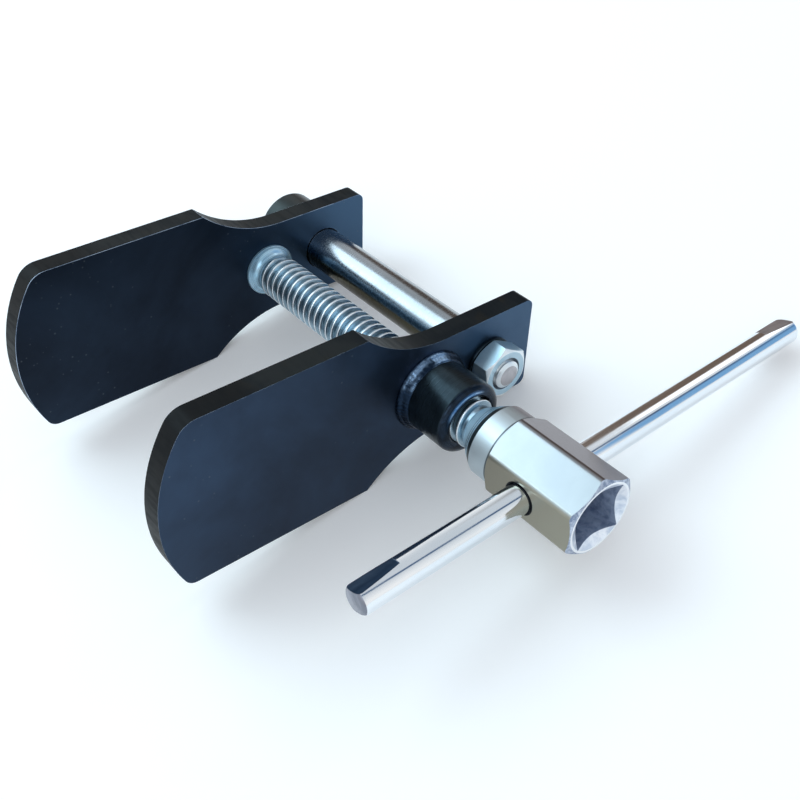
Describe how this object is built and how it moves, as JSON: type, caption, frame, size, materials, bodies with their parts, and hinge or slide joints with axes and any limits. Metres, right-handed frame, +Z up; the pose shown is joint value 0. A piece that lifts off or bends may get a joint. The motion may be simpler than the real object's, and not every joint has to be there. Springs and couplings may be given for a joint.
{
  "type": "caliper piston spreader",
  "caption": "Screw-driven caliper piston spreader: fixed and sliding jaw plates, guide rod, lead screw, hex drive head with square socket, sliding T-bar.",
  "frame": {"origin": "centre of the base: the middle of the tool's footprint in X and Y, on the surface that it stands on, with the jaws open as modelled", "axes": "+Z up as the tool comes to rest on the corners of its plates; the screw and guide rod lie along Y with the drive head towards -Y; the lobes of the plates point towards -X and rise by 10.5 degrees"},
  "size_m": [0.1688, 0.1504, 0.0546],
  "materials": {
    "blackened_plate": "satin black oxide",
    "black_turned": "satin black oxide, turned",
    "weld_bead": "rippled, blued",
    "polished_steel": "ground and polished",
    "zinc_plate": "bright zinc",
    "screw_plate": "nickel plated, worn bright",
    "satin_chrome": "pearl satin",
    "bright_chrome": "mirror"
  },
  "bodies": {
    "fixed_jaw": {"fixed_plate": "blackened_plate", "screw_boss": "black_turned", "boss_weld": "weld_bead", "guide_rod": "polished_steel", "nut_washer": "black_turned", "guide_nut": "zinc_plate"},
    "sliding_jaw": {"sliding_plate": "blackened_plate", "guide_sleeve": "black_turned", "sleeve_weld": "weld_bead"},
    "screw": {"lead_screw": "screw_plate", "thrust_washer": "zinc_plate", "drive_head": "satin_chrome"},
    "bar": {"t_bar": "bright_chrome"}
  },
  "joints": [
    {"name": "plate_slide", "type": "slide", "parent": "fixed_jaw", "child": "sliding_jaw", "axis": [0, 1, 0], "range_m": [-0.0631, 0.004]},
    {"name": "screw_turn", "type": "hinge", "parent": "sliding_jaw", "child": "screw", "pos_m": [-0.007, 0.052, 0.0195], "axis": [0, 1, 0], "range_deg": [-8944, 567]},
    {"name": "bar_slide", "type": "slide", "parent": "screw", "child": "bar", "axis": [0.9891, 0, -0.1474], "range_m": [-0.0701, 0.0345]}
  ],
  "couplings": [
    {"joint": "screw_turn", "follows": "plate_slide", "rad_per_m": 2473.7}
  ]
}
